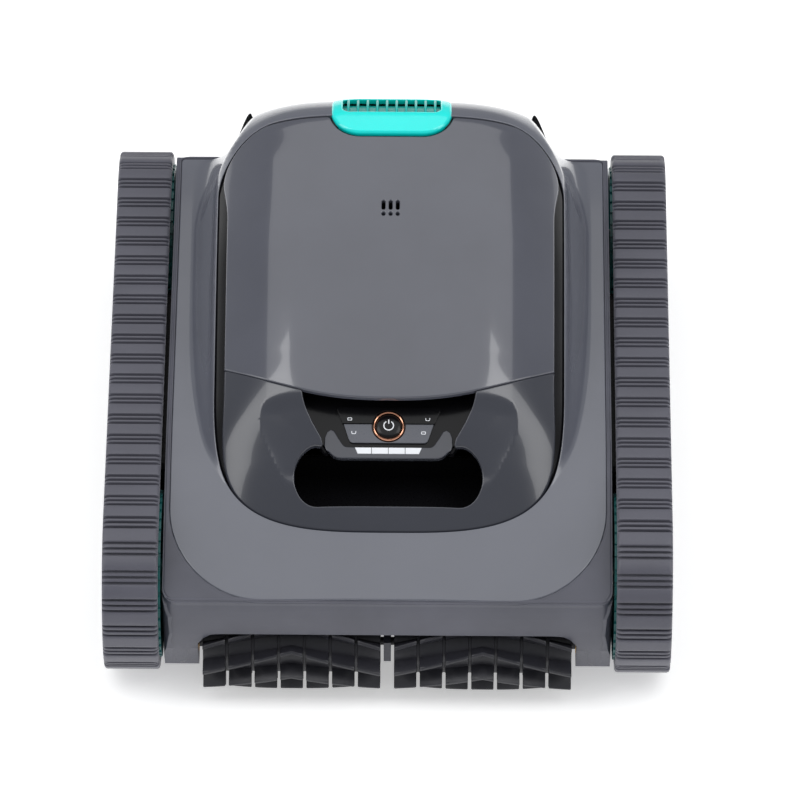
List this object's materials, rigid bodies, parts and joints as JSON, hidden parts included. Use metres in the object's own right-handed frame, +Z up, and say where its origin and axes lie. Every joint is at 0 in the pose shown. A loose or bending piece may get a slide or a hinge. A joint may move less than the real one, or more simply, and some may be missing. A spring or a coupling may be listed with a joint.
{
  "type": "robotic pool cleaner",
  "caption": "Cordless robotic pool cleaner on two rubber tracks, with front brushes, hinged lid over a lift-out filter basket, pump outlet and carry slot.",
  "frame": {"origin": "on the floor, under the middle of the footprint of the two tracks", "axes": "+Z up, -Y towards the front with the brushes, +X towards the cleaner's own left"},
  "size_m": [0.41, 0.4612, 0.2412],
  "materials": {
    "hull_plastic": "fine matt moulded",
    "shell_plastic": "glossy metallic grey",
    "cover_plastic": "glossy dark slate",
    "smoked_lid": "glossy smoked, slightly see-through",
    "black_plastic": "satin black",
    "teal_cap": "glossy bright teal",
    "teal_vanes": "satin teal",
    "side_plastic": "satin dark grey",
    "white_plastic": "white translucent",
    "panel_plastic": "glossy black",
    "copper_ring": "rose gold plated",
    "teal_wheel": "dark teal moulded",
    "tread_rubber": "slate rubber",
    "blade_rubber": "soft dark rubber",
    "seal_rubber": "soft black rubber",
    "gear_plastic": "moulded nylon",
    "steel": "stainless",
    "motor_can": "drawn steel",
    "bronze_bush": "sintered bronze",
    "box_plastic": "moulded grey",
    "mesh_fabric": "fine filter mesh",
    "cell_wrap": "blue shrink wrap",
    "board_green": "solder mask",
    "socket_brass": "plated contacts in a moulded socket"
  },
  "bodies": {
    "chassis": {"battery_pack": "cell_wrap", "bearing_bushes": "bronze_bush", "box_seal": "seal_rubber", "button_ring": "copper_ring", "charging_socket": "socket_brass", "control_board": "board_green", "control_panel": "panel_plastic", "control_pod": "black_plastic", "drive_motor_left": "motor_can", "drive_motor_right": "motor_can", "grip_well": "black_plastic", "handle_cover": "cover_plastic", "hull_screws": "steel", "intake_duct": "black_plastic", "lid_frame": "black_plastic", "lid_hinge_pins": "steel", "light_bar": "white_plastic", "lower_hull": "hull_plastic", "motor_box": "box_plastic", "motor_box_cover": "box_plastic", "outlet_cap": "teal_cap", "outlet_vanes": "teal_vanes", "panel_icons": "white_plastic", "pump_duct": "box_plastic", "pump_motor": "motor_can", "rear_panel": "black_plastic", "side_cover_left": "side_plastic", "side_cover_right": "side_plastic", "track_beam_left": "black_plastic", "track_beam_right": "black_plastic", "track_belt_left": "tread_rubber", "track_belt_right": "tread_rubber", "upper_shell": "shell_plastic"},
    "lid": {"lid": "smoked_lid", "lid_seal": "seal_rubber"},
    "basket": {"filter_basket": "black_plastic", "filter_mesh": "mesh_fabric"},
    "basket_bail": {"basket_handle": "black_plastic"},
    "flap": {"inlet_flap": "box_plastic"},
    "button": {"power_button": "panel_plastic"},
    "socket_cover": {"charging_cover": "seal_rubber"},
    "pump_rotor": {"impeller": "gear_plastic"},
    "rear_drive_left": {"rear_wheel_left": "teal_wheel", "rear_axle_left": "steel"},
    "front_drive_left": {"front_wheel_left": "teal_wheel", "front_axle_left": "steel"},
    "brush_left": {"brush_core_left": "gear_plastic", "brush_blades_left": "blade_rubber"},
    "brush_idler_left": {"brush_idler_gear_left": "gear_plastic"},
    "pinion_left": {"motor_pinion_left": "steel"},
    "roller_left": {"track_roller_left": "gear_plastic"},
    "rear_drive_right": {"rear_wheel_right": "teal_wheel", "rear_axle_right": "steel"},
    "front_drive_right": {"front_wheel_right": "teal_wheel", "front_axle_right": "steel"},
    "brush_right": {"brush_core_right": "gear_plastic", "brush_blades_right": "blade_rubber"},
    "brush_idler_right": {"brush_idler_gear_right": "gear_plastic"},
    "pinion_right": {"motor_pinion_right": "steel"},
    "roller_right": {"track_roller_right": "gear_plastic"}
  },
  "joints": [
    {"name": "lid_hinge", "type": "hinge", "parent": "chassis", "child": "lid", "pos_m": [0, 0.1345, 0.231], "axis": [-1, 0, 0], "range_deg": [0, 95]},
    {"name": "basket_lift", "type": "slide", "parent": "chassis", "child": "basket", "axis": [0, 0, 1], "range_m": [0, 0.17]},
    {"name": "bail_hinge", "type": "hinge", "parent": "basket", "child": "basket_bail", "pos_m": [0, 0.008, 0.151], "axis": [-1, 0, 0], "range_deg": [0, 90]},
    {"name": "flap_hinge", "type": "hinge", "parent": "basket", "child": "flap", "pos_m": [0, -0.0296, 0.0838], "axis": [-1, 0, 0], "range_deg": [0, 60]},
    {"name": "button_press", "type": "slide", "parent": "chassis", "child": "button", "axis": [0, 0.309, -0.9511], "range_m": [0, 0.0012], "stiffness_N_per_m": 900},
    {"name": "socket_cover_hinge", "type": "hinge", "parent": "chassis", "child": "socket_cover", "pos_m": [0.09, 0.1933, 0.1645], "axis": [1, 0, 0], "range_deg": [0, 110]},
    {"name": "pump_spin", "type": "hinge", "parent": "chassis", "child": "pump_rotor", "pos_m": [0, 0.12, 0.14], "axis": [0, 0.342, 0.9397], "continuous": true},
    {"name": "rear_wheel_left_spin", "type": "hinge", "parent": "chassis", "child": "rear_drive_left", "pos_m": [0.18, 0.16085, 0.0698], "axis": [1, 0, 0], "continuous": true, "deforming": ["track_belt_left"]},
    {"name": "front_wheel_left_spin", "type": "hinge", "parent": "chassis", "child": "front_drive_left", "pos_m": [0.18, -0.16085, 0.0698], "axis": [1, 0, 0], "continuous": true, "deforming": ["track_belt_left"]},
    {"name": "brush_idler_left_spin", "type": "hinge", "parent": "chassis", "child": "brush_idler_left", "pos_m": [0.146, -0.17654, 0.04601], "axis": [1, 0, 0], "continuous": true},
    {"name": "brush_left_spin", "type": "hinge", "parent": "chassis", "child": "brush_left", "pos_m": [0.07, -0.195, 0.036], "axis": [1, 0, 0], "continuous": true},
    {"name": "pinion_left_spin", "type": "hinge", "parent": "chassis", "child": "pinion_left", "pos_m": [0.146, 0.12935, 0.0698], "axis": [1, 0, 0], "continuous": true},
    {"name": "roller_left_spin", "type": "hinge", "parent": "chassis", "child": "roller_left", "pos_m": [0.181, 0, 0.0243], "axis": [1, 0, 0], "continuous": true, "deforming": ["track_belt_left"]},
    {"name": "rear_wheel_right_spin", "type": "hinge", "parent": "chassis", "child": "rear_drive_right", "pos_m": [-0.18, 0.16085, 0.0698], "axis": [1, 0, 0], "continuous": true, "deforming": ["track_belt_right"]},
    {"name": "front_wheel_right_spin", "type": "hinge", "parent": "chassis", "child": "front_drive_right", "pos_m": [-0.18, -0.16085, 0.0698], "axis": [1, 0, 0], "continuous": true, "deforming": ["track_belt_right"]},
    {"name": "brush_idler_right_spin", "type": "hinge", "parent": "chassis", "child": "brush_idler_right", "pos_m": [-0.146, -0.17654, 0.04601], "axis": [1, 0, 0], "continuous": true},
    {"name": "brush_right_spin", "type": "hinge", "parent": "chassis", "child": "brush_right", "pos_m": [-0.07, -0.195, 0.036], "axis": [1, 0, 0], "continuous": true},
    {"name": "pinion_right_spin", "type": "hinge", "parent": "chassis", "child": "pinion_right", "pos_m": [-0.146, 0.12935, 0.0698], "axis": [1, 0, 0], "continuous": true},
    {"name": "roller_right_spin", "type": "hinge", "parent": "chassis", "child": "roller_right", "pos_m": [-0.181, 0, 0.0243], "axis": [1, 0, 0], "continuous": true, "deforming": ["track_belt_right"]}
  ],
  "couplings": [
    {"joint": "basket_lift", "follows": "lid_hinge", "m_per_rad": 0.0974},
    {"joint": "front_wheel_left_spin", "follows": "rear_wheel_left_spin", "ratio": 1},
    {"joint": "brush_idler_left_spin", "follows": "rear_wheel_left_spin", "ratio": -1.7143},
    {"joint": "brush_left_spin", "follows": "rear_wheel_left_spin", "ratio": 1.7143},
    {"joint": "pinion_left_spin", "follows": "rear_wheel_left_spin", "ratio": -2},
    {"joint": "roller_left_spin", "follows": "rear_wheel_left_spin", "ratio": 4.9231},
    {"joint": "front_wheel_right_spin", "follows": "rear_wheel_right_spin", "ratio": 1},
    {"joint": "brush_idler_right_spin", "follows": "rear_wheel_right_spin", "ratio": -1.7143},
    {"joint": "brush_right_spin", "follows": "rear_wheel_right_spin", "ratio": 1.7143},
    {"joint": "pinion_right_spin", "follows": "rear_wheel_right_spin", "ratio": -2},
    {"joint": "roller_right_spin", "follows": "rear_wheel_right_spin", "ratio": 4.9231}
  ]
}
